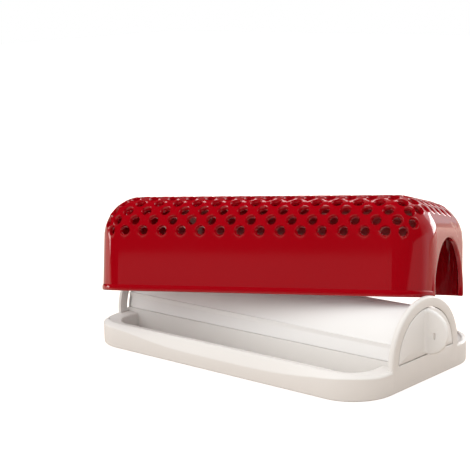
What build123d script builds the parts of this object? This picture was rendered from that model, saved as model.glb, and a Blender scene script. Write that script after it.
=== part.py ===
from build123d import *
from math import atan2, cos, hypot, pi, radians, sin, sqrt
import os

# A microwave hot dog cooker: a white tray that holds water, an arched hood along
# its middle, a perforated drawer under the hood that pulls out by a half-round
# grip through the right end plate, and a loose red perforated cover that warms
# buns. X runs along the cooker, Y from front to back, Z up. The origin is on the
# table, under the middle of the tray. The cover is turned and leans back on the
# tray, as when it has just been lifted. All sizes are in millimetres and angles
# in degrees.

# Tray
tray_length = 220.0
tray_width = 123.0
tray_corner_radius = 26.0
tray_wall = 2.2
rim_height = 15.0
rim_width = 12.0
rim_bevel = 4.0
rim_soften = 0.6
ledge_depth = 1.5
ledge_lip = 4.6
floor_top = 3.0

# Chamber walls and ribs that stand on the tray's floor
chamber_wall = 2.0
sill_height = 16.2
rib_wall = 2.0
rib_pitch = 62.0
drain_width = 9.0
drain_height = 2.6

# Arched end plates of the tray, all about one axis along X
arch_centre_height = 15.0
arch_outer_radius = 34.0
arch_opening_radius = 28.0
arch_plate = 3.2

# Hood over the chamber, which stands on its walls between the end plates
hood_radius = 27.0
hood_wall = 1.8
hood_end_gap = 0.3
hood_sill_gap = 0.3
bead_low_angle = 18.4
bead_high_angle = 24.0
flank_bead_proud = 1.1
flank_bead_inset = 2.5
tongue_wall = 1.2
tongue_drop = 2.8
tongue_rise = 1.0
tongue_end_inset = 4.0

# Drawer for two sausages, with a half-round front plate and its grip
running_gap = 0.3
drawer_floor = 1.8
drawer_side_wall = 1.6
drawer_side_rise = 4.5
drawer_ridge_width = 3.0
drawer_ridge_rise = 2.4
grip_foot_gap = 0.6
drawer_plate = 2.6
plate_gap = 0.6
rear_plate_gap = 0.7
drawer_slot_length = 12.0
drawer_slot_width = 3.0
drawer_slot_pitch = 17.5
drawer_slot_count = 11
grip_radius = 13.2
grip_wall = 2.4
grip_reach = 14.6
grip_root_flare = 2.0
grip_slot_width = 1.4
grip_slot_height = 4.0
grip_slot_reach = 6.0
grip_slot_height_over_sill = 12.0

# Cover
cover_length = 219.0
cover_width = 113.0
cover_height = 60.0
cover_edge_radius = 25.0
cover_wall = 2.4
bead_height = 3.4
bead_proud = 0.6
opening_radius = 34.5
opening_lift = 1.5
hole_radius = 2.6
hole_columns = 16
hole_rows_in_front = 10
hole_end_margin = 11.7
hole_edge_inset = 2.9
row_lean_share = 0.8

# Where the loose cover lies: the middle of its lower edge, and its turns
cover_x = -9.8
cover_y = 15.8
cover_z = 30.9
cover_turn_angle = 18.8
cover_lean_angle = -13.2
cover_dip_angle = -2.8

# One overrun for every cut that runs out of its piece
overrun = 2.0

half_length = tray_length / 2
trough_length = tray_length - 2 * rim_width
trough_width = tray_width - 2 * rim_width
trough_corner_radius = tray_corner_radius - rim_width
arch_inner_x = half_length - arch_plate
hood_inner_radius = hood_radius - hood_wall
hood_half_length = arch_inner_x - hood_end_gap
wall_inner_y = hood_radius - chamber_wall
tongue_outer_y = wall_inner_y - running_gap
tongue_inner_y = tongue_outer_y - tongue_wall
hood_bottom = sill_height + hood_sill_gap


def spoke(radius, angle):
    """Point on a circle about the arches' axis, in the YZ plane, angle from the front."""
    turn = radians(angle)
    return (-radius * cos(turn), arch_centre_height + radius * sin(turn))


def ring_sector(outer, inner, low, high):
    """Closed outline of part of a ring about the arches' axis, in the YZ plane."""
    middle = (low + high) / 2
    with BuildLine() as outline:
        ThreePointArc(spoke(outer, low), spoke(outer, middle), spoke(outer, high))
        Line(spoke(outer, high), spoke(inner, high))
        ThreePointArc(spoke(inner, high), spoke(inner, middle), spoke(inner, low))
        Line(spoke(inner, low), spoke(outer, low))
    return outline.line


def arch_outline(radius, foot_drop):
    """Half disc about the arches' axis, on straight sides where it has a foot."""
    with BuildLine() as outline:
        ThreePointArc(spoke(radius, 0), spoke(radius, 90), spoke(radius, 180))
        if foot_drop:
            foot_height = arch_centre_height - foot_drop
            Line(spoke(radius, 180), (radius, foot_height))
            Line((radius, foot_height), (-radius, foot_height))
            Line((-radius, foot_height), spoke(radius, 0))
        else:
            Line(spoke(radius, 180), spoke(radius, 0))
    return outline.line


# Tray: floor, rim, arched end plates and chamber walls in one moulding
with BuildPart() as base_tray:
    with BuildSketch():
        RectangleRounded(tray_length, tray_width, tray_corner_radius)
    extrude(amount=rim_height)
    chamfer(base_tray.edges().group_by(Axis.Z)[-1], length=rim_bevel)
    rim_loops = base_tray.edges().filter_by(lambda edge: edge.bounding_box().size.Z < rim_soften)
    fillet(rim_loops.group_by(Axis.Z)[-1] + rim_loops.group_by(Axis.Z)[-2], radius=rim_soften)
    # Arched end plates
    for side in (-1, 1):
        with BuildSketch(Plane.YZ.offset(side * arch_inner_x)):
            make_face(arch_outline(arch_outer_radius, arch_centre_height - floor_top))
        extrude(amount=side * arch_plate)
    # Ledge that the closed cover stands on, open at both ends
    with BuildSketch(Plane.XY.offset(rim_height - ledge_depth)):
        RectangleRounded(
            tray_length + overrun,
            tray_width - 2 * ledge_lip,
            tray_corner_radius,
        )
        with Locations((half_length, 0), (-half_length, 0)):
            Rectangle(2 * arch_plate, 2 * arch_outer_radius, mode=Mode.SUBTRACT)
    extrude(amount=ledge_depth, mode=Mode.SUBTRACT)
    # Trough
    with BuildSketch(Plane.XY.offset(floor_top)):
        RectangleRounded(trough_length, trough_width, trough_corner_radius)
    extrude(amount=rim_height, mode=Mode.SUBTRACT)
    # Openings through the end plates
    for side in (-1, 1):
        with BuildSketch(Plane.YZ.offset(side * (arch_inner_x - overrun))):
            make_face(arch_outline(arch_opening_radius, 0))
        extrude(amount=side * (arch_plate + 2 * overrun), mode=Mode.SUBTRACT)
    # Hollow under the rim
    with BuildSketch():
        RectangleRounded(
            tray_length - 2 * tray_wall,
            tray_width - 2 * tray_wall,
            tray_corner_radius - tray_wall,
        )
        RectangleRounded(
            trough_length + 2 * tray_wall,
            trough_width + 2 * tray_wall,
            trough_corner_radius + tray_wall,
            mode=Mode.SUBTRACT,
        )
    extrude(
        amount=rim_height - ledge_depth - rim_bevel,
        mode=Mode.SUBTRACT,
    )
    # Long walls of the chamber
    with BuildSketch(Plane.XY.offset(floor_top)):
        for side in (-1, 1):
            with Locations((0, side * (hood_radius - chamber_wall / 2))):
                Rectangle(2 * arch_inner_x, chamber_wall)
    extrude(amount=sill_height - floor_top)
    # Ribs across the chamber that carry the drawer, with a water gap at the floor
    with BuildSketch(Plane.XY.offset(floor_top)):
        with GridLocations(rib_pitch, 0, 3, 1):
            Rectangle(rib_wall, 2 * (tongue_inner_y - running_gap))
    extrude(amount=arch_centre_height - floor_top)
    with Locations(Plane.XY.offset(floor_top + drain_height / 2)):
        with GridLocations(rib_pitch, 0, 3, 1):
            Box(
                rib_wall + overrun,
                drain_width,
                drain_height,
                mode=Mode.SUBTRACT,
            )
base_tray.part.label = "base_tray"


# Hood: arched roof that stands on the chamber's walls, with a bead on each flank
with BuildPart() as chamber_hood:
    with BuildSketch(Plane.YZ):
        with Locations((0, arch_centre_height)):
            Circle(hood_radius)
            Circle(hood_inner_radius, mode=Mode.SUBTRACT)
        with Locations((0, hood_bottom)):
            Rectangle(
                2 * (hood_radius + overrun),
                hood_radius + arch_centre_height,
                align=(Align.CENTER, Align.MAX),
                mode=Mode.SUBTRACT,
            )
    extrude(amount=hood_half_length, both=True)
    # Tongues that stand inside the tray's chamber walls
    with BuildSketch(Plane.YZ):
        for side in (-1, 1):
            with BuildLine():
                Polyline(
                    (side * tongue_inner_y, hood_bottom - tongue_drop),
                    (side * tongue_outer_y, hood_bottom - tongue_drop),
                    (side * tongue_outer_y, hood_bottom),
                    (side * (wall_inner_y + hood_wall / 2), hood_bottom),
                    (side * (wall_inner_y + hood_wall / 2), hood_bottom + tongue_rise),
                    (side * tongue_inner_y, hood_bottom + tongue_rise),
                    close=True,
                )
            make_face()
    extrude(amount=trough_length / 2 - tongue_end_inset, both=True)
    # Beads along both flanks
    with BuildSketch(Plane.YZ):
        for low, high in (
            (bead_low_angle, bead_high_angle),
            (180 - bead_high_angle, 180 - bead_low_angle),
        ):
            make_face(
                ring_sector(hood_radius + flank_bead_proud, hood_radius - hood_wall / 2, low, high)
            )
    extrude(amount=hood_half_length - flank_bead_inset, both=True)
chamber_hood.part.label = "chamber_hood"


# Drawer: slotted floor with low sides, a rear plate, and a front plate with a grip
drawer_bottom = arch_centre_height + running_gap
drawer_top = drawer_bottom + drawer_floor
drawer_half_width = tongue_inner_y - running_gap
drawer_face_x = half_length
drawer_front_x = drawer_face_x - drawer_plate
drawer_rear_x = -hood_half_length
drawer_length = drawer_front_x - drawer_rear_x
drawer_middle_x = (drawer_front_x + drawer_rear_x) / 2
sausage_width = drawer_half_width - drawer_side_wall - drawer_ridge_width / 2
sausage_y = (drawer_ridge_width + sausage_width) / 2
grip_centre_x = drawer_face_x + grip_reach - grip_radius
grip_centre_z = drawer_bottom + grip_foot_gap + grip_radius
with BuildPart() as sausage_drawer:
    # Half-round grip with a full-round edge, turned about its middle
    with BuildSketch(Plane.XY.offset(grip_centre_z)):
        with Locations((grip_centre_x, 0)):
            Rectangle(
                grip_radius - grip_wall / 2,
                grip_wall,
                align=(Align.MIN, Align.CENTER),
            )
        with Locations((grip_centre_x + grip_radius - grip_wall / 2, 0)):
            Circle(grip_wall / 2)
    revolve(axis=Axis((grip_centre_x, 0, grip_centre_z), (0, 1, 0)))
    with Locations((drawer_face_x - drawer_plate / 2, 0, grip_centre_z)):
        Box(
            2 * grip_radius,
            2 * grip_wall,
            2 * (grip_radius + overrun),
            align=(Align.MAX, Align.CENTER, Align.CENTER),
            mode=Mode.SUBTRACT,
        )
    # Floor, low sides and the ridge between two troughs
    with Locations((drawer_middle_x, 0, drawer_bottom)):
        Box(
            drawer_length,
            2 * drawer_half_width,
            drawer_floor + drawer_side_rise,
            align=(Align.CENTER, Align.CENTER, Align.MIN),
        )
    with BuildSketch(Plane.XY.offset(drawer_top)):
        with Locations((drawer_middle_x, 0)):
            with GridLocations(0, 2 * sausage_y, 1, 2):
                Rectangle(drawer_length, sausage_width)
    extrude(amount=drawer_side_rise, mode=Mode.SUBTRACT)
    with Locations((drawer_middle_x, 0, drawer_top + drawer_ridge_rise)):
        Box(
            drawer_length,
            drawer_ridge_width + overrun,
            drawer_side_rise,
            align=(Align.CENTER, Align.CENTER, Align.MIN),
            mode=Mode.SUBTRACT,
        )
    # Steam slots through the floor
    with BuildSketch(Plane.XY.offset(drawer_bottom)):
        with Locations((drawer_middle_x, 0)):
            with GridLocations(drawer_slot_pitch, 2 * sausage_y, drawer_slot_count, 2):
                SlotOverall(drawer_slot_length, drawer_slot_width)
    extrude(amount=drawer_floor, mode=Mode.SUBTRACT)
    # Rear plate, which clears the hood's inside
    with BuildSketch(Plane.YZ.offset(drawer_rear_x)):
        with Locations((0, arch_centre_height)):
            Circle(hood_inner_radius - rear_plate_gap)
        with Locations((0, drawer_bottom)):
            Rectangle(
                2 * drawer_half_width,
                hood_radius,
                align=(Align.CENTER, Align.MIN),
                mode=Mode.INTERSECT,
            )
    extrude(amount=drawer_plate)
    # Front plate in the right end plate's opening
    with BuildSketch(Plane.YZ.offset(drawer_front_x)):
        with Locations((0, arch_centre_height)):
            Circle(arch_opening_radius - plate_gap)
        with Locations((0, drawer_bottom)):
            Rectangle(
                2 * arch_opening_radius,
                arch_opening_radius,
                align=(Align.CENTER, Align.MIN),
                mode=Mode.INTERSECT,
            )
    extrude(amount=drawer_plate)
    # Flared root of the grip
    with BuildSketch(Plane.XY.offset(grip_centre_z)):
        with BuildLine():
            Polyline(
                (drawer_face_x, -grip_wall / 2 - grip_root_flare),
                (drawer_face_x + grip_root_flare, -grip_wall / 2),
                (drawer_face_x + grip_root_flare, grip_wall / 2),
                (drawer_face_x, grip_wall / 2 + grip_root_flare),
                close=True,
            )
        make_face()
    extrude(amount=grip_radius - grip_root_flare, both=True)
    with BuildSketch(Plane.XZ):
        with Locations((drawer_face_x + grip_slot_reach, drawer_bottom + grip_slot_height_over_sill)):
            SlotOverall(grip_slot_height, grip_slot_width, rotation=90)
    extrude(amount=grip_wall, both=True, mode=Mode.SUBTRACT)
sausage_drawer.part.label = "sausage_drawer"


# Cover: a deep loaf with rounded edges, perforated over its front shoulder and top
cover_place = (
    Location((cover_x, cover_y, cover_z))
    * Location((0, 0, 0), (0, 0, cover_turn_angle))
    * Location((0, 0, 0), (0, cover_dip_angle, 0))
    * Location((0, 0, 0), (cover_lean_angle, 0, 0))
)
cover_plane = Plane(cover_place)
flat_half_length = cover_length / 2 - bead_proud - cover_edge_radius
flat_half_width = cover_width / 2 - bead_proud - cover_edge_radius
shoulder_height = cover_height - cover_edge_radius
shoulder_arc = cover_edge_radius * pi / 2
hole_pitch_along = (cover_length - 2 * hole_end_margin) / (hole_columns - 1)
hole_pitch_across = (flat_half_width + shoulder_arc - hole_edge_inset) / hole_rows_in_front
hole_rows_behind = int(flat_half_width / hole_pitch_across)


def hole_place(along, across):
    """Place of a hole, its distances along and across walked on the skin from the middle.

    On the rounded corners a row keeps its distance from the flat top, as on the sides: its
    walk over the edge is the fourth root of both walks' fourth powers added up.
    """
    side_x = 1 if along > 0 else -1
    side_y = 1 if across > 0 else -1
    over_x = max(0, abs(along) - flat_half_length)
    over_y = max(0, abs(across) - flat_half_width)
    bend = sqrt(hypot(over_x**2, over_y**2)) / cover_edge_radius
    heading = atan2(row_lean_share * over_y, over_x)
    out_x = side_x * sin(bend) * cos(heading)
    out_y = side_y * sin(bend) * sin(heading)
    spot = (
        side_x * min(abs(along), flat_half_length) + cover_edge_radius * out_x,
        side_y * min(abs(across), flat_half_width) + cover_edge_radius * out_y,
        shoulder_height + cover_edge_radius * cos(bend),
    )
    return Plane(origin=spot, z_dir=(out_x, out_y, cos(bend))).location


def hole_places():
    """Staggered rows of holes over the front shoulder and the flat top."""
    places = []
    for row in range(-hole_rows_in_front, hole_rows_behind + 1):
        columns = hole_columns + (hole_rows_in_front + row) % 2
        first = -(columns - 1) / 2 * hole_pitch_along
        for column in range(columns):
            places.append(hole_place(first + column * hole_pitch_along, row * hole_pitch_across))
    return places


with BuildPart(cover_plane) as cover_shell:
    Box(
        cover_length - 2 * bead_proud,
        cover_width - 2 * bead_proud,
        cover_height,
        align=(Align.CENTER, Align.CENTER, Align.MIN),
    )
    cover_rise = Axis(cover_plane.origin, cover_plane.z_dir)
    bottom = cover_shell.faces().sort_by(cover_rise)[0]
    fillet(cover_shell.edges() - bottom.edges(), radius=cover_edge_radius)
    offset(amount=-cover_wall, openings=cover_shell.faces().sort_by(cover_rise)[0])
    # Bead along the lower edge
    with BuildSketch(cover_plane):
        RectangleRounded(cover_length, cover_width, cover_edge_radius + bead_proud)
        RectangleRounded(
            cover_length - 2 * bead_proud - cover_wall,
            cover_width - 2 * bead_proud - cover_wall,
            cover_edge_radius - cover_wall / 2,
            mode=Mode.SUBTRACT,
        )
    extrude(amount=bead_height)
    # Arched opening through both ends
    with Locations((0, 0, opening_lift)):
        Cylinder(
            opening_radius,
            cover_length + overrun,
            rotation=(0, 90, 0),
            mode=Mode.SUBTRACT,
        )
    Box(
        cover_length + overrun,
        2 * opening_radius,
        2 * opening_lift,
        mode=Mode.SUBTRACT,
    )
    # Steam holes
    with Locations(*hole_places()):
        Cylinder(hole_radius, 4 * cover_wall, mode=Mode.SUBTRACT)
cover_shell.part.label = "cover_shell"


os.makedirs("parts", exist_ok=True)
export_step(base_tray.part, "parts/base_tray.step")
export_step(chamber_hood.part, "parts/chamber_hood.step")
export_step(sausage_drawer.part, "parts/sausage_drawer.step")
export_step(cover_shell.part, "parts/cover_shell.step")
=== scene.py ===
from math import asin, cos, pi, radians, sin

import bmesh
import bpy
import numpy as np
from mathutils import Matrix, Quaternion, Vector


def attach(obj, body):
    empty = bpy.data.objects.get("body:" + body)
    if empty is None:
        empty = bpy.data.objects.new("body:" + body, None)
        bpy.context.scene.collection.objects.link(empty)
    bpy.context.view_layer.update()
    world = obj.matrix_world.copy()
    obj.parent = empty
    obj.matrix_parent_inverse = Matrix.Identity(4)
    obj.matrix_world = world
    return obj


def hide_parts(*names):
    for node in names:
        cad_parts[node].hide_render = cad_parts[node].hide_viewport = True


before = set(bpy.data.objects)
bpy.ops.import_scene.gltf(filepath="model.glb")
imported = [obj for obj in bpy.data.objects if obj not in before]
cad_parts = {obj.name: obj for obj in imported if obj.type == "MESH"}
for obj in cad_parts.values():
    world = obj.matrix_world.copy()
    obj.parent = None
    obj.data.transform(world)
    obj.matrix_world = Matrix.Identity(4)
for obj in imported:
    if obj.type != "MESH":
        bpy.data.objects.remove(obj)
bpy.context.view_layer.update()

# A microwave hot dog cooker, built in millimetres and put into its meshes in metres.
# X runs along the cooker, Y from front to back and Z up from the table.
METRES = 0.001
weld_distance = 1e-6

# Tray
tray_half_length = 110.0
tray_half_width = 61.5
tray_corner_radius = 26.0
tray_wall = 2.2
ledge_top = 13.5
lip_rise = 1.5
rim_width = 12.0
floor_top = 3.0
hollow_top = 9.5

# Arches at both ends, about one axis along X
arch_axis_height = 15.0
arch_outer_radius = 34.0
arch_opening_radius = 28.0
arch_inner_x = 106.8
arch_face_proud = 0.03
arch_foot = 2.0

# Chamber
wall_outer_y = 27.0
wall_inner_y = 25.0
wall_top = 16.2
wall_sunk_in_floor = 0.2
rib_places = (-62, 0, 62)
rib_half_wall = 1.0
rib_half_length = 23.2
drain_half_width = 4.5
drain_top = 5.6

# Hood
hood_radius = 27.0
hood_inner_radius = 25.2
hood_half_length = 106.5
hood_bottom = 16.5
bead_proud_of_hood = 1.1
bead_foot = 18.4
bead_slant = 5.0
bead_crest = 23.5
bead_top = 24.1
tongue_half_length = 94
tongue_outer_y = 24.7
tongue_inner_y = 23.5
tongue_bottom = 13.7
tongue_top = 17.6

# Drawer
drawer_bottom = 15.3
drawer_floor_top = 17.1
drawer_side_top = 21.6
drawer_side_wall = 1.6
drawer_half_width = 23.2
ridge_half_width = 1.5
ridge_top = 19.5
slot_pitch = 17.5
slot_count = 11
slot_half_length = 6.0
slot_radius = 1.5
drawer_front_x = 107.4
drawer_face_x = 110.0
drawer_rear_x = -106.5
plate_wall = 2.6
plate_soften = 0.4
plate_radius = 27.4
plate_seam = 0.4
rear_plate_radius = 24.5
grip_radius = 13.2
grip_centre = (111.4, 29.1)
grip_half_thickness = 1.2
grip_root_x = 108.8
grip_root_flare = 2.0
grip_slot_centre = (116.0, 27.3)
grip_slot_half_size = (0.7, 2.0)

# Cover
cover_half_length = 108.9
cover_half_width = 55.9
cover_height = 60.0
cover_edge_radius = 25.0
cover_wall = 2.4
bead_proud = 0.6
opening_radius = 34.5
opening_lift = 1.5
hole_columns = 16
hole_rows_in_front = 10
hole_end_margin = 11.7
hole_edge_inset = 2.9
row_lean_share = 0.8
hole_rings = ((4.1, 4.55), (3.5, 4.2), (2.7, 3.9), (2.6, 3.8))
collar_rise = 0.25
flare_depth = 0.9
cell_tilt = 2.0
cell_steps = 6
long_side_bend_steps = 12
end_bend_steps = 8
bead_fade_steps = 7
skirt_shares = (0, 0.1, 0.22, 0.36, 0.5, 0.64, 0.78, 0.9, 1.0)
skirt_foot = 3.9
cover_place = (-9.8, 15.8, 30.9)
cover_turn = 18.8
cover_lean = -13.2
cover_dip = -2.8


# Meshes


def quads_between(index):
    """Quads between neighbouring rows and columns of a table of point numbers."""
    quads = np.stack(
        [index[:-1, :-1], index[1:, :-1], index[1:, 1:], index[:-1, 1:]], axis=-1
    )
    return quads.reshape(-1, 4)


def grid(points, wrap_rows=False, wrap_columns=False):
    """Points of a grid, rows by columns by 3, and the quads between neighbours in it."""
    rows, columns = points.shape[:2]
    index = np.arange(rows * columns).reshape(rows, columns)
    if wrap_rows:
        index = np.vstack([index, index[:1]])
    if wrap_columns:
        index = np.hstack([index, index[:, :1]])
    return points.reshape(-1, 3), quads_between(index)


def cap(loop):
    """Fan from a closed loop of points to its middle."""
    middle = np.broadcast_to(loop.mean(axis=0), loop.shape)
    return grid(np.stack([loop, middle]), wrap_columns=True)


def piece(name, sheets, material, body, crease=38.0):
    """Piece of sheets that are welded where they meet, smooth but for edges sharper than crease."""
    starts = np.cumsum([0] + [len(sheet[0]) for sheet in sheets])
    points = np.concatenate([sheet[0] for sheet in sheets]) * METRES
    quads = np.concatenate([sheet[1] + start for sheet, start in zip(sheets, starts)])
    mesh = bpy.data.meshes.new(name)
    mesh.from_pydata(points, [], quads.tolist())
    work = bmesh.new()
    work.from_mesh(mesh)
    bmesh.ops.remove_doubles(work, verts=work.verts, dist=weld_distance)
    bmesh.ops.dissolve_degenerate(work, edges=work.edges, dist=weld_distance / 10)
    bmesh.ops.recalc_face_normals(work, faces=work.faces)
    if work.calc_volume(signed=True) < 0:
        bmesh.ops.reverse_faces(work, faces=work.faces)
    work.to_mesh(mesh)
    work.free()
    mesh.shade_smooth()
    mesh.set_sharp_from_angle(angle=radians(crease))
    mesh.materials.append(material)
    item = bpy.data.objects.new(name, mesh)
    bpy.context.scene.collection.objects.link(item)
    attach(item, body)
    return item


def softened(profile, radii, steps=3):
    """Profile, stations by points by 2, whose corners with a radius become short curves.

    Each curve is the parabola between the points one radius before and after its corner.
    """
    made = []
    share = np.linspace(0, 1, steps + 1)[None, :, None]
    for at, radius in enumerate(radii):
        corner = profile[:, at]
        if not radius:
            made.append(corner[:, None])
            continue
        back = profile[:, at - 1] - corner
        ahead = profile[:, (at + 1) % len(radii)] - corner
        start_length = np.linalg.norm(back, axis=1, keepdims=True)
        end_length = np.linalg.norm(ahead, axis=1, keepdims=True)
        start = corner + back * np.minimum(radius / start_length, 0.45)
        end = corner + ahead * np.minimum(radius / end_length, 0.45)
        made.append(
            (1 - share) ** 2 * start[:, None]
            + 2 * share * (1 - share) * corner[:, None]
            + share**2 * end[:, None]
        )
    return np.concatenate(made, axis=1)


def rounded_rectangle(half_x, half_y, radius, along_x, along_y, corner):
    """Points and outward normals of a rounded rectangle, anticlockwise.

    A corner is a quarter circle about its own middle; a side joins two corners evenly.
    """
    centre = np.array([half_x - radius, half_y - radius])
    signs = np.array([(1, 1), (-1, 1), (-1, -1), (1, -1)])
    points = []
    normals = []
    for quarter in range(4):
        angle = pi / 2 * (quarter + np.linspace(0, 1, corner + 1))
        normal = np.stack([np.cos(angle), np.sin(angle)], axis=1)
        arc = centre * signs[quarter] + radius * normal
        next_start = centre * signs[(quarter + 1) % 4] + radius * normal[-1]
        count = along_x if quarter % 2 == 0 else along_y
        share = np.linspace(0, 1, count + 2)[1:-1, None]
        side = arc[-1] + (next_start - arc[-1]) * share
        points += [arc, side]
        normals += [normal, np.broadcast_to(normal[-1], side.shape)]
    return np.concatenate(points), np.concatenate(normals)


# Materials


def new_group(name, inputs, outputs):
    """Empty shader group with its named sockets, and its input and output nodes."""
    group = bpy.data.node_groups.new(name, "ShaderNodeTree")
    for label, kind, value in inputs:
        socket = group.interface.new_socket(label, in_out="INPUT", socket_type=kind)
        socket.default_value = value
    for label, kind in outputs:
        group.interface.new_socket(label, in_out="OUTPUT", socket_type=kind)
    return group, group.nodes.new("NodeGroupInput"), group.nodes.new("NodeGroupOutput")


def noise(tree, vector, scale, detail=3.0):
    """Noise texture on the given coordinates, with its scale a number or a socket."""
    node = tree.nodes.new("ShaderNodeTexNoise")
    node.inputs["Detail"].default_value = detail
    tree.links.new(vector, node.inputs["Vector"])
    if isinstance(scale, (int, float)):
        node.inputs["Scale"].default_value = scale
    else:
        tree.links.new(scale, node.inputs["Scale"])
    return node.outputs["Fac"]


def maths(tree, operation, first, second):
    """Maths node between two values, each a number or a socket."""
    node = tree.nodes.new("ShaderNodeMath")
    node.operation = operation
    for at, value in enumerate((first, second)):
        if isinstance(value, (int, float)):
            node.inputs[at].default_value = value
        else:
            tree.links.new(value, node.inputs[at])
    return node.outputs[0]


def moulded_skin():
    """Skin of moulded plastic: slow drift of tone, fine grain, and rubbed or handled patches."""
    group, given, gives = new_group(
        "moulded_skin",
        [
            ("Pale Colour", "NodeSocketColor", (0.8, 0.8, 0.8, 1)),
            ("Deep Colour", "NodeSocketColor", (0.7, 0.7, 0.7, 1)),
            ("Drift Scale", "NodeSocketFloat", 14.0),
            ("Grain Scale", "NodeSocketFloat", 2600.0),
            ("Gloss Roughness", "NodeSocketFloat", 0.2),
            ("Rubbed Roughness", "NodeSocketFloat", 0.4),
        ],
        [
            ("Colour", "NodeSocketColor"),
            ("Roughness", "NodeSocketFloat"),
            ("Height", "NodeSocketFloat"),
        ],
    )
    place = group.nodes.new("ShaderNodeTexCoord").outputs["Object"]
    drift = noise(group, place, given.outputs["Drift Scale"], 2.0)
    grain = noise(group, place, given.outputs["Grain Scale"], 2.0)
    patch_scale = maths(group, "MULTIPLY", given.outputs["Drift Scale"], 4.0)
    patches = noise(group, place, patch_scale, 5.0)
    mix = group.nodes.new("ShaderNodeMix")
    mix.data_type = "RGBA"
    group.links.new(drift, mix.inputs["Factor"])
    group.links.new(given.outputs["Pale Colour"], mix.inputs["A"])
    group.links.new(given.outputs["Deep Colour"], mix.inputs["B"])
    group.links.new(mix.outputs["Result"], gives.inputs["Colour"])
    spread = group.nodes.new("ShaderNodeMapRange")
    group.links.new(patches, spread.inputs["Value"])
    group.links.new(given.outputs["Gloss Roughness"], spread.inputs["To Min"])
    group.links.new(given.outputs["Rubbed Roughness"], spread.inputs["To Max"])
    group.links.new(spread.outputs["Result"], gives.inputs["Roughness"])
    waves = maths(group, "MULTIPLY", drift, 2.0)
    group.links.new(maths(group, "ADD", grain, waves), gives.inputs["Height"])
    return group


def plastic(name, skin, values, grain_depth, settings):
    """Plastic whose colour, roughness and grain come from the moulded skin with its own values."""
    material = bpy.data.materials.new(name)
    material.use_nodes = True
    tree = material.node_tree
    shader = tree.nodes["Principled BSDF"]
    effect = tree.nodes.new("ShaderNodeGroup")
    effect.node_tree = skin
    for label, value in values.items():
        effect.inputs[label].default_value = value
    bump = tree.nodes.new("ShaderNodeBump")
    bump.inputs["Distance"].default_value = grain_depth
    tree.links.new(effect.outputs["Colour"], shader.inputs["Base Color"])
    tree.links.new(effect.outputs["Roughness"], shader.inputs["Roughness"])
    tree.links.new(effect.outputs["Height"], bump.inputs["Height"])
    tree.links.new(bump.outputs["Normal"], shader.inputs["Normal"])
    for label, value in settings.items():
        shader.inputs[label].default_value = value
    return material


skin = moulded_skin()
fine_grain = 0.00002
# The tray's white is set darker than the hood's and the drawer's. That is painted shade on the tray
# and painted light on the hood, which lies in the cover's shade, not a difference between two
# plastics.
tray_white = plastic(
    "tray_white_plastic",
    skin,
    {
        "Pale Colour": (0.76, 0.735, 0.705, 1),
        "Deep Colour": (0.73, 0.70, 0.665, 1),
        "Gloss Roughness": 0.26,
        "Rubbed Roughness": 0.42,
    },
    fine_grain,
    {"IOR": 1.49},
)
hood_white = plastic(
    "hood_white_plastic",
    skin,
    {
        "Pale Colour": (0.83, 0.815, 0.80, 1),
        "Deep Colour": (0.80, 0.785, 0.765, 1),
        "Gloss Roughness": 0.24,
        "Rubbed Roughness": 0.38,
    },
    fine_grain,
    {"IOR": 1.49},
)
drawer_white = plastic(
    "drawer_white_plastic",
    skin,
    {
        "Pale Colour": (0.82, 0.805, 0.785, 1),
        "Deep Colour": (0.785, 0.77, 0.745, 1),
        "Gloss Roughness": 0.26,
        "Rubbed Roughness": 0.40,
    },
    fine_grain,
    {"IOR": 1.49},
)
cover_red = plastic(
    "cover_red_plastic",
    skin,
    {
        "Pale Colour": (0.34, 0.0005, 0.005, 1),
        "Deep Colour": (0.29, 0.0003, 0.004, 1),
        "Drift Scale": 9.0,
        "Grain Scale": 900.0,
        "Gloss Roughness": 0.04,
        "Rubbed Roughness": 0.09,
    },
    fine_grain * 0.3,
    {"IOR": 1.5, "Coat Weight": 0.2, "Coat Roughness": 0.04},
)


# The tray


def tray_profile(path, normal):
    """Tray's profile of inset and height at each place of its outline, round its hollow rim.

    The bevel's drop swells along the long sides as base plus rise times
    exp(-((x - middle) / reach) ^ 4), and the lip fades out round the corners to both ends.
    """
    sideways = np.abs(normal[:, 1]) ** 1.5
    swell_middle = 5.0
    swell_reach = 72.0
    swell = np.exp(-(((path[:, 0] - swell_middle) / swell_reach) ** 4))
    least_drop, side_drop, swell_drop = 1.0, 0.6, 5.5
    drop = least_drop + sideways * (side_drop + swell_drop * swell)
    lip = lip_rise * np.clip(sideways * 1.6 - 0.3, 0, 1)
    bevel_inset = 1.0 + 3.0 * sideways
    lip_inset = bevel_inset + 0.9
    top = ledge_top + lip
    same = np.ones(len(path))
    inset_height_radius = [
        (same * (rim_width - tray_wall), same * 0.0, 0.0),
        (same * (rim_width - tray_wall), same * hollow_top, 0.8),
        (same * tray_wall, same * hollow_top, 0.8),
        (same * tray_wall, same * 0.0, 0.4),
        (same * 0.0, same * 0.0, 0.8),
        (same * 0.0, top - drop, 0.7),
        (bevel_inset, top, 0.8),
        (lip_inset, top, 0.3),
        (lip_inset + 0.3, same * ledge_top, 0.4),
        (same * rim_width, same * ledge_top, 1.4),
        (same * rim_width, same * floor_top, 0.0),
    ]
    profile = np.stack([np.stack(corner[:2], axis=1) for corner in inset_height_radius], axis=1)
    return softened(profile, [corner[2] for corner in inset_height_radius], 4)


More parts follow.
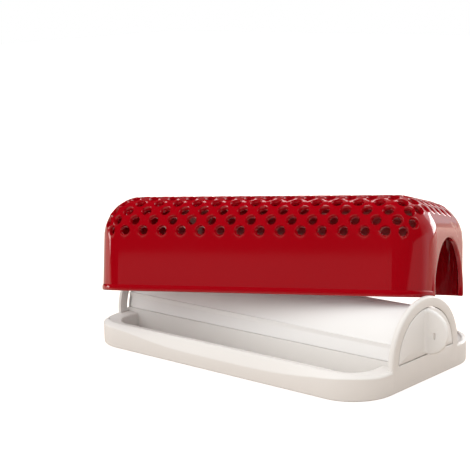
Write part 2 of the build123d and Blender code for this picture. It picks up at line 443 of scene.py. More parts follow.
def tray_body():
    """Tray: its profile carried round a rounded rectangle, with flat sheets to its middle line.

    A point is the path's point less its outward normal times the inset.
    """
    path, normal = rounded_rectangle(
        tray_half_length, tray_half_width, tray_corner_radius, along_x=47, along_y=23, corner=14
    )
    profile = tray_profile(path, normal)
    inset = profile[:, :, 0]
    swept = np.dstack(
        [
            path[:, None, 0] - normal[:, None, 0] * inset,
            path[:, None, 1] - normal[:, None, 1] * inset,
            profile[:, :, 1],
        ]
    )
    middle_half_length = tray_half_length - tray_half_width
    middle_x = np.clip(path[:, 0], -middle_half_length, middle_half_length)
    middle_line = np.stack([middle_x, np.zeros(len(path))], axis=1)
    share = np.linspace(0, 1, 7)[None, :, None]
    flats = []
    for edge, height in ((swept[:, 0], 0.0), (swept[:, -1], floor_top)):
        flat = edge[:, None, :2] + (middle_line[:, None] - edge[:, None, :2]) * share
        flats.append(np.dstack([flat, np.full(flat.shape[:2], height)]))
    underside, floor = flats
    whole = np.concatenate([underside[:, :0:-1], swept, floor[:, 1:]], axis=1)
    return grid(whole, wrap_rows=True)


def arch_loops(count):
    """Outer outline of an end plate and its half-round opening, both about the arches' axis.

    Both loops have a half circle at equal angles; below it the outer one runs down, across
    and up, and the inner one straight across.
    """
    angle = np.linspace(0, pi, count)
    circle = np.stack([-np.cos(angle), np.sin(angle)], axis=1)
    lift = np.array([0.0, arch_axis_height])
    share = np.linspace(0, 1, 17)[1:-1]
    way = np.interp(share, [0, 0.2, 0.8, 1], [0, 1, 2, 3])
    foot_y = np.interp(way, [0, 1, 2, 3], [1, 1, -1, -1]) * arch_outer_radius
    heights = [arch_axis_height, arch_foot, arch_foot, arch_axis_height]
    foot_z = np.interp(way, [0, 1, 2, 3], heights)
    outer = np.concatenate(
        [circle * arch_outer_radius + lift, np.stack([foot_y, foot_z], axis=1)]
    )
    sill_y = arch_opening_radius * (1 - 2 * share)
    sill = np.stack([sill_y, np.full(len(share), arch_axis_height)], axis=1)
    inner = np.concatenate([circle * arch_opening_radius + lift, sill])
    return outer, inner


def loop_normals(loop):
    """Normals of a clockwise loop, to its left, averaged between its neighbouring edges."""
    run = np.roll(loop, -1, axis=0) - np.roll(loop, 1, axis=0)
    run /= np.linalg.norm(run, axis=1, keepdims=True)
    return np.stack([-run[:, 1], run[:, 0]], axis=1)


def end_arch(side):
    """End plate of the tray: a section carried round between its outline and its opening.

    The outer edge of its face turns with the soft radius, the other edges with the small one.
    """
    outer, inner = arch_loops(61)
    outward = loop_normals(outer)
    inward = -loop_normals(inner)
    face = tray_half_length + arch_face_proud
    back = arch_inner_x
    turn = np.linspace(0, pi / 2, 6)
    few = turn[::2]
    soft = 1.3
    small = 0.35
    stations = [
        (outer - outward * (soft * (1 - cos(bend))), face - soft * (1 - sin(bend))) for bend in turn
    ]
    stations.append((inner + (outer - inner) * 0.5, face))
    stations += [
        (inner - inward * (small * (1 - sin(bend))), face - small * (1 - cos(bend))) for bend in few
    ]
    stations += [
        (inner - inward * (small * (1 - cos(bend))), back + small * (1 - sin(bend))) for bend in few
    ]
    stations += [
        (outer - outward * (small * (1 - sin(bend))), back + small * (1 - cos(bend))) for bend in few
    ]
    rows = [
        np.column_stack([np.full(len(loop), side * x), loop[:, 0], loop[:, 1]])
        for loop, x in stations
    ]
    return grid(np.stack(rows), wrap_rows=True, wrap_columns=True)


def upright(lengthwise, runs, top, near, far, soft=0.5):
    """Thin upright wall with a softened top, along X or across it.

    The section is a closed loop of offset and height, carried along the wall; runs are the
    places along it and the height of its foot at each.
    """
    place = np.array([run[0] for run in runs], float)
    low = np.array([run[1] for run in runs], float)
    same = np.ones(len(place))
    section = np.stack(
        [
            np.stack([same * near, low], axis=1),
            np.stack([same * near, same * top], axis=1),
            np.stack([same * far, same * top], axis=1),
            np.stack([same * far, low], axis=1),
        ],
        axis=1,
    )
    section = softened(section, [0.0, soft, soft, 0.0], 3)
    along = np.broadcast_to(place[:, None], section.shape[:2])
    order = (along, section[..., 0]) if lengthwise else (section[..., 0], along)
    whole = np.dstack([order[0], order[1], section[..., 1]])
    return [grid(whole, wrap_columns=True), cap(whole[0]), cap(whole[-1])]


tray = piece("tray_body", [tray_body()], tray_white, "tray", 50)
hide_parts("base_tray")
piece("tray_arch_right", [end_arch(1)], tray_white, "tray")
piece("tray_arch_left", [end_arch(-1)], tray_white, "tray")
foot = floor_top - wall_sunk_in_floor
wall_end = arch_inner_x + wall_sunk_in_floor
wall_runs = [(x, foot) for x in np.linspace(-wall_end, wall_end, 9)]
for label, side in (("front", -1), ("back", 1)):
    sheets = upright(True, wall_runs, wall_top, side * wall_inner_y, side * wall_outer_y)
    piece("chamber_wall_" + label, sheets, tray_white, "tray")
rib_runs = [
    (-rib_half_length, foot),
    (-drain_half_width, foot),
    (-drain_half_width, drain_top),
    (drain_half_width, drain_top),
    (drain_half_width, foot),
    (rib_half_length, foot),
]
ribs = []
for middle in rib_places:
    near, far = middle - rib_half_wall, middle + rib_half_wall
    ribs += upright(False, rib_runs, arch_axis_height, near, far)
piece("chamber_ribs", ribs, tray_white, "tray")


# The hood


def smooth_step(value, low, high):
    """0 below low and 1 above high, with a smooth rise between them."""
    share = np.clip((value - low) / (high - low), 0, 1)
    return share * share * (3 - 2 * share)


def hood_roof():
    """Hood: at each angle about the arches' axis a loop of X and radius, closed round the roof.

    The outer radius swells by the flank bead, which grows evenly with the angle in degrees
    and drops back at its upper edge. The outermost wide strips run on to both ends, and the
    narrow strips that round the ends off fold back under them.
    """
    start = asin((hood_bottom - arch_axis_height) / hood_radius)
    bead_marks = np.radians([17.9, 18.4, 20.2, 22.0, 23.4, 23.6, 23.8, 24.1, 24.5])
    fan = np.linspace(radians(27), radians(153), 61)
    angle = np.concatenate(
        [np.linspace(start, radians(16.5), 6), bead_marks, fan, pi - bead_marks[::-1]]
        + [np.linspace(radians(163.5), pi - start, 6)]
    )
    degrees = np.degrees(angle)
    from_side = np.minimum(degrees, 180 - degrees)
    slant = np.clip((from_side - bead_foot) / bead_slant, 0, 1)
    bead = slant - smooth_step(from_side, bead_crest, bead_top)
    end = hood_half_length
    soft = 0.5
    turned = 0.15
    narrow = 2.2
    middle_steps = 17
    outer_x = np.array(
        [-end, -end + turned, -end + soft, -end + narrow, -end]
        + list(np.linspace(-end + 12, end - 12, middle_steps))
        + [end, end - narrow, end - soft, end - turned, end]
    )
    drop = np.array([soft, turned, 0, 0, 0] + [0] * middle_steps + [0, 0, 0, turned, soft])
    wide = np.array([0, 0, 0, 0, 1] + [1] * middle_steps + [1, 0, 0, 0, 0])
    outer = hood_radius - drop[None] + bead_proud_of_hood * bead[:, None] * wide[None]
    inner_x = outer_x[4:-4][::-1]
    inner = np.full((len(angle), len(inner_x)), hood_inner_radius)
    radius = np.concatenate([outer, inner], axis=1)
    x = np.broadcast_to(np.concatenate([outer_x, inner_x]), radius.shape)
    y = -radius * np.cos(angle)[:, None]
    z = arch_axis_height + radius * np.sin(angle)[:, None]
    z[0] = hood_bottom
    z[-1] = hood_bottom
    whole = np.dstack([x, y, z])
    return [grid(whole, wrap_columns=True), cap(whole[0]), cap(whole[-1])]


def hood_tongue(side):
    """Tongue under the hood's edge that drops inside the chamber wall."""
    runs = [(-tongue_half_length, tongue_bottom), (tongue_half_length, tongue_bottom)]
    return upright(True, runs, tongue_top, side * tongue_outer_y, side * tongue_inner_y, 0.4)


roof = piece("hood_roof", hood_roof(), hood_white, "hood", 30)
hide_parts("chamber_hood")
piece("hood_tongues", hood_tongue(-1) + hood_tongue(1), hood_white, "hood")


# Perforated sheets

# Points of a ring: every hole, and every cell round one, is such a ring
ring_points = 16


def ring_quads(rings, places):
    """Quads between neighbouring closed rings, repeated at each place."""
    index = np.arange(rings * ring_points).reshape(rings, ring_points)
    quads = quads_between(np.hstack([index, index[:, :1]]))
    shift = np.arange(places)[:, None, None] * (rings * ring_points)
    return (quads[None] + shift).reshape(-1, 4)


def even_circle():
    """Points of one ring on a circle of radius 1, at even angles."""
    angle = np.arange(ring_points) * 2 * pi / ring_points
    return np.stack([np.cos(angle), np.sin(angle)], axis=1)


def cell_outline(half_x, half_y):
    """Ring round a rectangle, four steps a side, from its right side's middle."""
    step = np.arange(ring_points)
    x = np.clip(np.abs((step + 8) % 16 - 8) * -0.5 + 2.0, -1, 1)
    y = np.clip(2.0 - np.abs((step + 4) % 16 - 8) * 0.5, -1, 1)
    return np.stack([x * half_x, y * half_y], axis=1)


def six_sided(half_x, half_y, tilt):
    """Ring round a six-sided cell of staggered rows, from its right side's middle.

    Its upright sides have two steps and end at half_y less the tilt; its slanted sides have
    three and meet at half_y plus the tilt.
    """
    x = np.array([1, 1, 2 / 3, 1 / 3, 0]) * half_x
    y = np.concatenate([[0.0], np.linspace(half_y - tilt, half_y + tilt, 4)])
    quarter = np.stack([x, y], axis=1)
    upper = np.concatenate([quarter, quarter[-2::-1] * (-1, 1)])
    return np.concatenate([upper, upper[-2:0:-1] * (1, -1)])


def stadium(half_length, radius):
    """Ring round a slot with round ends, at even angles on its ends."""
    circle = even_circle()
    end = np.sign(np.round(circle[:, 0], 6)) * (half_length - radius)
    return np.stack([circle[:, 0] * radius + end, circle[:, 1] * radius], axis=1)


def joined(loops, places):
    """Flat cells: rings with a height each, repeated at each place and joined."""
    points = np.stack([loop for loop, height in loops])
    height = np.array([height for loop, height in loops])
    flat = points[None] + places[:, None, None]
    deep = np.broadcast_to(height[None, :, None, None], flat.shape[:3] + (1,))
    whole = np.concatenate([flat, deep], axis=-1)
    return whole.reshape(-1, 3), ring_quads(len(loops), len(places))


# The drawer


def slotted_floor(slots, side):
    """Drawer's floor under both troughs: a flat cell round each slot."""
    half = ((side - ridge_half_width) / 2, (side + ridge_half_width) / 2)
    outline = cell_outline(slot_pitch / 2, half[0])
    hole = stadium(slot_half_length, slot_radius)
    loops = [
        (outline, drawer_floor_top),
        (hole * 1.12, drawer_floor_top),
        (hole, drawer_floor_top - 0.3),
        (hole, drawer_bottom),
        (outline, drawer_bottom),
    ]
    sheets = []
    for row in (-1, 1):
        places = np.stack([slots, np.full(slot_count, row * half[1])], axis=1)
        sheets.append(joined(loops, places))
    return sheets


def tub_lines(side):
    """Lines of offset and height across the tub: its side wall, and one half of its ridge."""
    soft = 0.4
    outer = side + drawer_side_wall
    wall = [
        (side, drawer_floor_top),
        (side, drawer_side_top - soft),
        (side + soft, drawer_side_top),
        (outer - soft, drawer_side_top),
        (outer, drawer_side_top - soft),
        (outer, drawer_bottom),
        (outer - soft, drawer_bottom),
        (side + soft, drawer_bottom),
        (side, drawer_bottom),
    ]
    ridge = [
        (ridge_half_width, drawer_floor_top),
        (ridge_half_width - 0.2, ridge_top - 0.5),
        (ridge_half_width - 0.8, ridge_top),
        (0.0, ridge_top),
    ]
    return wall, ridge


def drawer_tub():
    """Drawer's floor, low sides and ridge.

    The floor's cells are joined by strips of the section, carried along X on the cells' own
    steps, and both ends are closed.
    """
    side = drawer_half_width - drawer_side_wall
    middle = (drawer_front_x + drawer_rear_x) / 2
    slots = middle + slot_pitch * (np.arange(slot_count) - (slot_count - 1) / 2)
    sheets = slotted_floor(slots, side)
    first, last = slots[0] - slot_pitch / 2, slots[-1] + slot_pitch / 2
    steps = np.linspace(first, last, 4 * slot_count + 1)
    into_plate = 0.3
    ends = [
        np.linspace(drawer_rear_x + into_plate, steps[0], 3),
        np.linspace(steps[-1], drawer_front_x + into_plate, 3),
    ]
    whole_x = np.concatenate([ends[0][:-1], steps, ends[1][1:]])
    floor_y = np.linspace(ridge_half_width, side, 5)
    wall, ridge = tub_lines(side)
    under_ridge = [(y, drawer_bottom) for y, z in ridge]
    wall_to_foot = wall[1:6]
    closing = ridge[::-1] + [(y, drawer_floor_top) for y in floor_y[1:]] + wall_to_foot
    for row in (-1, 1):
        for end in ends:
            for height in (drawer_floor_top, drawer_bottom):
                x, y = np.meshgrid(end, row * floor_y, indexing="ij")
                sheets.append(grid(np.dstack([x, y, np.full(x.shape, height)])))
        sheets += [strip(whole_x, line, row) for line in (wall, ridge, under_ridge)]
    for row in (-1, 1):
        for x in (whole_x[0], whole_x[-1]):
            top = [(x, row * y, z) for y, z in closing]
            low = [(x, row * y, drawer_bottom) for y, z in closing]
            sheets.append(grid(np.array([top, low])))
    return sheets


def strip(places, line, row):
    """Line of offset and height carried straight along X, on one side of the middle."""
    line = np.array(line, float)
    x = np.broadcast_to(places[:, None], (len(places), len(line)))
    y = np.broadcast_to(row * line[None, :, 0], x.shape)
    z = np.broadcast_to(line[None, :, 1], x.shape)
    return grid(np.dstack([x, y, z]))


def half_disc(radius, foot_z, limit_y, back, face):
    """Plate with a round top and a flat foot: its outline, shrunk to its middle on both faces.

    The outline is the circle's points about the arches' axis above the foot, kept within
    the limit on both sides, and its edges turn with a soft radius.
    """
    soft = plate_soften
    start = asin((foot_z - arch_axis_height) / radius)
    angle = np.linspace(start, pi - start, 73)
    arc = np.stack([-radius * np.cos(angle), arch_axis_height + radius * np.sin(angle)], axis=1)
    foot_line = np.linspace(arc[-1], arc[0], 25)[1:-1]
    loop = np.concatenate([arc, foot_line])
    loop[:, 0] = np.clip(loop[:, 0], -limit_y, limit_y)
    middle = np.array([0.0, foot_z + 0.4 * radius])
    size = np.linalg.norm(loop - middle, axis=1, keepdims=True)
    rows = [(0.0, back), (0.5, back)]
    turn = np.linspace(0, pi / 2, 4)
    rows += [(1 - soft * (1 - sin(bend)) / size, back + soft * (1 - cos(bend))) for bend in turn]
    rows += [(1 - soft * (1 - cos(bend)) / size, face - soft * (1 - sin(bend))) for bend in turn]
    rows += [(0.5, face), (0.0, face)]
    made = [
        np.column_stack([np.full(len(loop), x), middle + (loop - middle) * share])
        for share, x in rows
    ]
    return grid(np.stack(made), wrap_columns=True)


def grip():
    """Half-round grip: rays from the slot's middle to a circle cut by the plate's line.

    Half its thickness is the wall's, plus a concave quarter circle near the plate; its edge
    is a half circle across the thickness.
    """
    rays = 96
    angle = np.arange(rays) * 2 * pi / rays
    ray = np.stack([np.cos(angle), np.sin(angle)], axis=1)
    slot = np.array(grip_slot_centre)
    centre = np.array(grip_centre)
    gap = slot - centre
    rim = grip_radius - grip_half_thickness
    along = ray @ gap
    to_circle = -along + np.sqrt(along**2 - gap @ gap + rim**2)
    facing = np.minimum(ray[:, 0], -1e-6)
    to_root = np.where(ray[:, 0] < 0, (grip_root_x - slot[0]) / facing, np.inf)
    length = np.minimum(to_circle, to_root)
    edge = slot + ray * length[:, None]
    outward = np.where((to_circle < to_root)[:, None], (edge - centre) / rim, 0.0)
    share = np.linspace(0, 1, 19)[:, None]
    to_slot_side = np.array(grip_slot_half_size) / np.maximum(np.abs(ray), 1e-6)
    hole = slot + ray * to_slot_side.min(axis=1)[:, None]
    face = hole[None] + (edge - hole)[None] * share[:, :, None]
    turn = np.linspace(0, pi, 13)[1:-1]
    bulge = np.sin(turn)[:, None, None] * outward[None] * grip_half_thickness
    rim_rows = edge[None] + bulge
    flat = np.concatenate([face, rim_rows, face[::-1]])
    flare = grip_root_flare
    near_root = np.clip(drawer_face_x + flare - flat[..., 0], 0, flare)
    half = grip_half_thickness + flare - np.sqrt(flare**2 - near_root**2)
    sway = np.concatenate([np.ones(len(share)), np.cos(turn), -np.ones(len(share))])
    y = -half * sway[:, None]
    whole = np.dstack([flat[..., 0], y, flat[..., 1]])
    return grid(whole, wrap_rows=True, wrap_columns=True)


tub = piece("drawer_tub", drawer_tub(), drawer_white, "drawer")
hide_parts("sausage_drawer")
face_plate = half_disc(
    plate_radius, drawer_bottom + plate_seam, plate_radius, drawer_front_x, drawer_face_x
)
piece("drawer_face_plate", [face_plate], drawer_white, "drawer")
rear_plate = half_disc(
    rear_plate_radius, drawer_bottom, drawer_half_width, drawer_rear_x, drawer_rear_x + plate_wall
)
piece("drawer_rear_plate", [rear_plate], drawer_white, "drawer")
piece("drawer_grip", [grip()], drawer_white, "drawer", 45)


# The cover

flat_half_length = cover_half_length - cover_edge_radius
flat_half_width = cover_half_width - cover_edge_radius
shoulder_height = cover_height - cover_edge_radius
quarter_turn = cover_edge_radius * pi / 2

# Cells of the holes on the flat sheet
hole_pitch_along = 2 * (cover_half_length + bead_proud - hole_end_margin) / (hole_columns - 1)
hole_pitch_across = (flat_half_width + quarter_turn - hole_edge_inset) / hole_rows_in_front
hole_rows_behind = int(flat_half_width / hole_pitch_across)
cell_half_x = hole_pitch_along / 2
cell_half_y = hole_pitch_across / 2
field_half_length = (hole_columns + 1) * cell_half_x
field_steps = cell_steps * (hole_columns + 1)

# Rows along the lower edge: how far back from it, share of the bead, sink into the skin
edge_rows = (
    (3.4, 0.6, 0.0),
    (3.0, 1.0, 0.0),
    (1.2, 1.0, 0.0),
    (0.7, 1.0, 0.08),
    (0.3, 1.0, 0.3),
    (0.08, 1.0, 0.55),
    (0.0, 1.0, 0.8),
)


def loaf_skin(along, across, depth):
    """Wraps a flat sheet over the loaf: flat top, then a quarter turn, then straight down.

    Beyond the flat top a point walks straight on from its nearest place on it, first round
    the edge's circle and then down the wall. Depth goes inwards from the skin.
    """
    over_x = np.maximum(np.abs(along) - flat_half_length, 0) * np.sign(along)
    over_y = np.maximum(np.abs(across) - flat_half_width, 0) * np.sign(across)
    walked = np.hypot(over_x, over_y)
    bend = np.minimum(walked / cover_edge_radius, pi / 2)
    fall = np.maximum(walked - quarter_turn, 0)
    radius = cover_edge_radius - depth
    safe = np.maximum(walked, 1e-9)
    x = np.clip(along, -flat_half_length, flat_half_length) + over_x / safe * radius * np.sin(bend)
    y = np.clip(across, -flat_half_width, flat_half_width) + over_y / safe * radius * np.sin(bend)
    z = shoulder_height + radius * np.cos(bend) - fall
    return np.stack([x, y, z], axis=-1)


def outline_row(edge, front_count, side_count):
    """Quarter of the cover's lower outline on the flat sheet, set back from it by edge.

    It goes along the long side, round the corner to the opening's foot, and up the
    opening's circle to its top.
    """
    walked = quarter_turn + shoulder_height - edge
    reach = opening_radius + edge
    low = asin((edge - opening_lift) / reach)
    foot_angle = asin((reach * cos(low) - flat_half_width) / cover_edge_radius)
    straight_count = front_count - long_side_bend_steps
    straight = np.linspace(0, flat_half_length, straight_count)
    turn = np.concatenate(
        [
            np.linspace(pi / 2, pi / 4, long_side_bend_steps + 1)[1:],
            np.linspace(pi / 4, foot_angle, end_bend_steps + 1)[1:],
        ]
    )
    along = [straight, flat_half_length + walked * np.cos(turn)]
    across = [
        np.full(straight_count, flat_half_width + walked),
        flat_half_width + walked * np.sin(turn),
    ]
    climb = np.linspace(low, pi / 2, side_count - end_bend_steps + 1)[1:]
    y = reach * np.cos(climb)
    z = opening_lift + reach * np.sin(climb)
    down = quarter_turn + shoulder_height - z
    beyond = np.arcsin(np.clip((y - flat_half_width) / cover_edge_radius, 0, 1))
    along.append(flat_half_length + down * np.cos(beyond))
    across.append(np.minimum(y, flat_half_width) + down * np.sin(beyond))
    return np.stack([np.concatenate(along), np.concatenate(across)], axis=1)


def cell_field():
    """Perforated field on the flat sheet: its cells' places, and the blank ends of short rows.

    Odd rows hold one hole more than even ones and stand half a pitch off them.
    """
    places = []
    blanks = []
    for row in range(-hole_rows_in_front, hole_rows_behind + 1):
        across = row * hole_pitch_across
        extra = (hole_rows_in_front + row) % 2
        first = -(hole_columns + extra - 1) / 2 * hole_pitch_along
        places += [(first + at * hole_pitch_along, across) for at in range(hole_columns + extra)]
        if not extra:
            blanks.append(across)
    return np.array(places), blanks


def round_corner(along, across):
    """Carries the square field round the loaf's corners, where its rows keep their height.

    Past both edges of the flat top the walk over the edge is the fourth root of the two
    walks' fourth powers added up, and its heading leans a little along the rows.
    """
    over_x = np.maximum(np.abs(along) - flat_half_length, 0)
    over_y = np.maximum(np.abs(across) - flat_half_width, 0)
    walked = np.sqrt(np.hypot(over_x**2, over_y**2))
    heading = np.arctan2(row_lean_share * over_y, over_x)
    flat_x = np.minimum(np.abs(along), flat_half_length)
    flat_y = np.minimum(np.abs(across), flat_half_width)
    return (
        np.sign(along) * (flat_x + walked * np.cos(heading) * (over_x > 0)),
        np.sign(across) * (flat_y + walked * np.sin(heading) * (over_y > 0)),
    )


def rounded_rings(places):
    """Rings round each place that come out round on the loaf's corners too.

    On a corner the sheet shrinks sideways by the sphere's circle over the flat one, so the
    ring's sideways share is stretched by the inverse, as far as its cell leaves room.
    """
    circle = even_circle()
    over = np.maximum(np.abs(places) - (flat_half_length, flat_half_width), 0) * np.sign(places)
    walked = np.maximum(np.linalg.norm(over, axis=1), 1e-9)
    on_corner = np.all(np.abs(over) > 1e-6, axis=1)
    shrink = cover_edge_radius * np.sin(walked / cover_edge_radius) / walked
    out = over / walked[:, None]
    sideways = np.stack([-out[:, 1], out[:, 0]], axis=1)
    share = circle @ sideways.T
    rings = []
    for radius, room in hole_rings:
        stretch = np.where(on_corner, np.minimum(1 / shrink, room / radius), 1.0)
        ring = circle[:, None] + share[:, :, None] * sideways[None] * (stretch - 1)[None, :, None]
        rings.append(ring * radius + places[None])
    return np.stack(rings).transpose(2, 0, 1, 3)


def cover_cells(places):
    """Cells of the cover: six-sided outline, raised collar, flare, straight bore, inside."""
    outline = six_sided(cell_half_x, cell_half_y, cell_tilt)
    edge = outline[None, None] + places[:, None, None]
    edge = np.stack(round_corner(edge[..., 0], edge[..., 1]), axis=-1)
    rings = rounded_rings(np.stack(round_corner(places[:, 0], places[:, 1]), axis=1))
    points = np.concatenate([edge, rings, edge], axis=1)
    depth = np.array([0.0, 0.0, -collar_rise, flare_depth, cover_wall, cover_wall])
    deep = np.broadcast_to(depth[None, :, None], points.shape[:3])
    skin = loaf_skin(points[..., 0], points[..., 1], deep)
    return skin.reshape(-1, 3), ring_quads(len(depth), len(places))


def both_faces(along, across):
    """The same stretch of the field on the loaf's outside and on its inside."""
    along, across = round_corner(along, across)
    return [grid(loaf_skin(along, across, np.full(along.shape, deep))) for deep in (0.0, cover_wall)]


def short_row_ends(across):
    """Blank half cells at both ends of a row that holds one hole less."""
    share = np.linspace(0, 1, 4)[:, None]
    x = field_half_length - cell_half_x * (1 - share)
    tall = cell_half_y - cell_tilt + 2 * cell_tilt * share
    y = across + tall * np.array([-1, 0, 1])[None]
    along = np.broadcast_to(x, y.shape)
    return both_faces(-along, y) + both_faces(along, y)


def border_line(rows):
    """Distance of the field's level border from the middle, past its last row's zigzag."""
    return rows * hole_pitch_across + cell_half_y + cell_tilt


def field_border(rows, flip):
    """Blank strip between the zigzag edge of the field's last row and its level border."""
    x = np.linspace(-field_half_length, field_half_length, field_steps + 1)
    half = cell_steps // 2
    wave = np.abs((np.arange(field_steps + 1) + half) % cell_steps - half) / half
    zigzag = cell_half_y + cell_tilt - 2 * cell_tilt * wave
    y = np.stack([rows * hole_pitch_across + zigzag, np.full(len(x), border_line(rows))])
    return both_faces(np.broadcast_to(x, y.shape), flip * y)


def field_side(rows, repeats):
    """Places of the cells' corners down the field's end, each repeated for a finer outline."""
    short = cell_half_y - cell_tilt
    marks = [0.0]
    for row in range(rows + 1):
        middle = row * hole_pitch_across
        reach = short if (hole_rows_in_front + row) % 2 else 2 * cell_half_y - short
        marks += [middle - reach, middle, middle + reach]
    side = np.unique(np.round([mark for mark in marks if mark >= 0], 6))[::-1]
    return np.repeat(side[1:], repeats)


def skirt(rows, repeats, flip_y):
    """Plain skin from the field's border to the lower edge, its bead and its underside.

    Its rows run from the border to just inside the outline, by the skirt's shares of the way
    between them. The bead fades out over a few steps past the opening's foot.
    """
    side = field_side(rows, repeats)
    front_x = np.linspace(0, field_half_length, field_steps // 2 + 1)
    border_x = np.concatenate([front_x, np.full(len(side), field_half_length)])
    border_y = np.concatenate([np.full(len(front_x), border_line(rows)), side])
    border = np.stack(round_corner(border_x, border_y), axis=1)
    counts = (len(front_x), len(side))
    share = np.array(skirt_shares)[:, None, None]
    plain = border[None] + (outline_row(skirt_foot, *counts) - border)[None] * share
    set_back, swell, sink = np.array(edge_rows).T
    edge = np.stack([outline_row(step, *counts) for step in set_back])
    whole = np.concatenate([plain, edge])
    foot = len(front_x) + end_bend_steps
    fade = 1 - smooth_step(np.arange(len(border)), foot, foot + bead_fade_steps)
    bead = sink[:, None] - bead_proud * swell[:, None] * fade[None]
    outer_depth = np.concatenate([np.zeros((len(share), len(border))), bead])
    sheets = []
    for flip_x in (-1, 1):
        along = whole[..., 0] * flip_x
        across = whole[..., 1] * flip_y
        outside = loaf_skin(along, across, outer_depth)
        inside = loaf_skin(along, across, np.full(along.shape, cover_wall))
        sheets += [grid(outside), grid(inside), grid(np.stack([outside[-1], inside[-1]]))]
    return sheets


def cover_sheets():
    """Cover: cells over the front shoulder and top, and the skin round them on both faces."""
    places, blanks = cell_field()
    sheets = [cover_cells(places)]
    for across in blanks:
        sheets += short_row_ends(across)
    sheets += field_border(hole_rows_in_front, -1) + field_border(hole_rows_behind, 1)
    return sheets + skirt(hole_rows_in_front, 2, -1) + skirt(hole_rows_behind, 4, 1)


def laid(sheets):
    """Sheets turned and leant back as the loose cover lies, and moved to its place."""
    turn = Matrix.Rotation(radians(cover_turn), 3, "Z")
    dip = Matrix.Rotation(radians(cover_dip), 3, "Y")
    lean = Matrix.Rotation(radians(cover_lean), 3, "X")
    whole = np.array(turn @ dip @ lean)
    return [(points @ whole.T + np.array(cover_place), quads) for points, quads in sheets]


cover = piece("cover_loaf", laid(cover_sheets()), cover_red, "cover", 32)
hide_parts("cover_shell")


# Camera and light


def place_camera():
    """Camera at the photograph's angle: yaw, pitch down and roll, and an offset in its own axes."""
    focal_pixels = 1300
    picture_pixels = 470
    sensor_width = 36
    yaw, pitch, roll = radians(41.66), radians(11.64), radians(1.62)
    level = Vector((cos(yaw), sin(yaw), 0))
    ahead = Vector((-sin(yaw), cos(yaw), 0)) * cos(pitch) - Vector((0, 0, 1)) * sin(pitch)
    down = ahead.cross(level)
    right = level * cos(roll) + down * sin(roll)
    below = -level * sin(roll) + down * cos(roll)
    offset = Vector((27.54, 71.0, 818.96))
    spot = -(right * offset.x + below * offset.y + ahead * offset.z) * METRES
    data = bpy.data.cameras.new("camera")
    data.lens = focal_pixels * sensor_width / picture_pixels
    data.clip_start = 0.01
    camera = bpy.data.objects.new("camera", data)
    bpy.context.scene.collection.objects.link(camera)
    turned = Matrix((right, -below, -ahead)).transposed().to_4x4()
    camera.matrix_world = Matrix.Translation(spot) @ turned
    bpy.context.scene.camera = camera


def soft_lamp(name, place, target, size, brightness, colour=(1, 1, 1), roll=0):
    """Oblong soft lamp that faces its target; its power is brightness times area times pi."""
    data = bpy.data.lights.new(name, "AREA")
    data.shape = "RECTANGLE"
    data.size, data.size_y = size
    data.energy = brightness * size[0] * size[1] * pi
    data.color = colour
    lamp = bpy.data.objects.new(name, data)
    bpy.context.scene.collection.objects.link(lamp)
    lamp.location = place
    lamp.rotation_mode = "QUATERNION"
    facing = (Vector(target) - Vector(place)).to_track_quat("-Z", "Y")
    lamp.rotation_quaternion = facing @ Quaternion((0, 0, 1), radians(roll))


def between(tree, value, low, high, at_low, at_high):
    """Map range node from one span to another."""
    node = tree.nodes.new("ShaderNodeMapRange")
    for label, number in (
        ("From Min", low),
        ("From Max", high),
        ("To Min", at_low),
        ("To Max", at_high),
    ):
        node.inputs[label].default_value = number
    tree.links.new(value, node.inputs["Value"])
    return node.outputs["Result"]


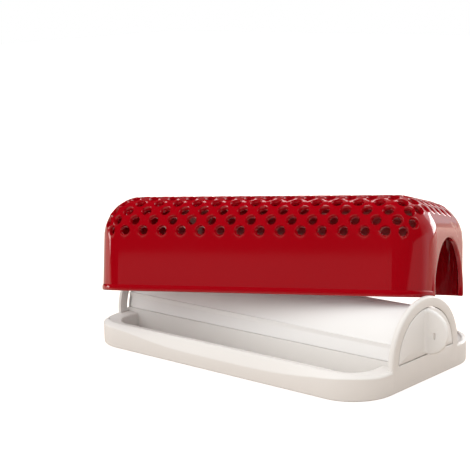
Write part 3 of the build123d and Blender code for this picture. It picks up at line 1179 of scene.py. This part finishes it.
def white_world(sky_side, dimmest, brightest):
    """World that is white to the camera, bright behind and dark in front to glossy rays.

    To the other rays it brightens evenly towards the sky's side.
    """
    world = bpy.data.worlds.new("studio")
    bpy.context.scene.world = world
    world.use_nodes = True
    tree = world.node_tree
    back = tree.nodes["Background"]
    back.inputs["Color"].default_value = (1, 1, 1, 1)
    rays = tree.nodes.new("ShaderNodeLightPath")
    way = tree.nodes.new("ShaderNodeTexCoord")
    split = tree.nodes.new("ShaderNodeSeparateXYZ")
    tree.links.new(way.outputs["Generated"], split.inputs[0])
    behind = between(tree, split.outputs["Y"], 0.3, 0.8, 0.01, 0.8)
    leftwards = between(tree, split.outputs["X"], -0.6, -0.2, 0.15, 1.0)
    mirrored = maths(tree, "MULTIPLY", behind, leftwards)
    towards = tree.nodes.new("ShaderNodeVectorMath")
    towards.operation = "DOT_PRODUCT"
    tree.links.new(way.outputs["Generated"], towards.inputs[0])
    towards.inputs[1].default_value = sky_side
    sky = between(tree, towards.outputs["Value"], -0.4, 1.0, dimmest, brightest)
    glossy = tree.nodes.new("ShaderNodeMix")
    tree.links.new(sky, glossy.inputs["A"])
    tree.links.new(rays.outputs["Is Glossy Ray"], glossy.inputs["Factor"])
    tree.links.new(mirrored, glossy.inputs["B"])
    seen = maths(tree, "MAXIMUM", glossy.outputs["Result"], rays.outputs["Is Camera Ray"])
    tree.links.new(seen, back.inputs["Strength"])


def white_floor():
    """Wide pale floor that turns white to the camera but keeps the cooker's shadow."""
    half = 3.0
    corners = [(-half, -half, 0), (half, -half, 0), (half, half, 0), (-half, half, 0)]
    mesh = bpy.data.meshes.new("floor")
    mesh.from_pydata(corners, [], [(0, 1, 2, 3)])
    floor = bpy.data.objects.new("floor", mesh)
    bpy.context.scene.collection.objects.link(floor)
    floor.location.z = -0.0002
    material = bpy.data.materials.new("floor_white")
    material.use_nodes = True
    tree = material.node_tree
    shader = tree.nodes["Principled BSDF"]
    shader.inputs["Base Color"].default_value = (0.50, 0.41, 0.34, 1)
    shader.inputs["Roughness"].default_value = 0.7
    shader.inputs["Specular IOR Level"].default_value = 0.2
    shader.inputs["Emission Color"].default_value = (1, 1, 1, 1)
    rays = tree.nodes.new("ShaderNodeLightPath")
    lift = maths(tree, "MULTIPLY", rays.outputs["Is Camera Ray"], 0.85)
    tree.links.new(lift, shader.inputs["Emission Strength"])
    mesh.materials.append(material)


place_camera()
white_world(Vector((-0.40, -0.42, 0.81)), dimmest=0.44, brightest=1.80)
white_floor()
cooker = (0, 0, 0.05)
soft_lamp("front_card", (-0.035, -0.63, 0.170), (0, 0, 0.04), (0.80, 0.048), 0.18, roll=8)
soft_lamp("right_card", (1.05, 0.0, 0.10), cooker, (1.9, 0.28), 0.30)
soft_lamp("back_window", (0.15, 1.30, 0.75), cooker, (1.1, 0.9), 1.3)
soft_lamp("back_strip", (0.30, 1.20, 0.22), cooker, (0.60, 0.36), 6.5, (1, 0.95, 0.93))
soft_lamp("left_strip", (-1.08, -0.35, 0.13), cooker, (0.25, 0.19), 4.0, (1, 0.92, 0.90))
soft_lamp("top_spot", (-0.60, 0.60, 0.85), cooker, (0.25, 0.25), 3.0)

bpy.context.scene.view_settings.view_transform = "Standard"
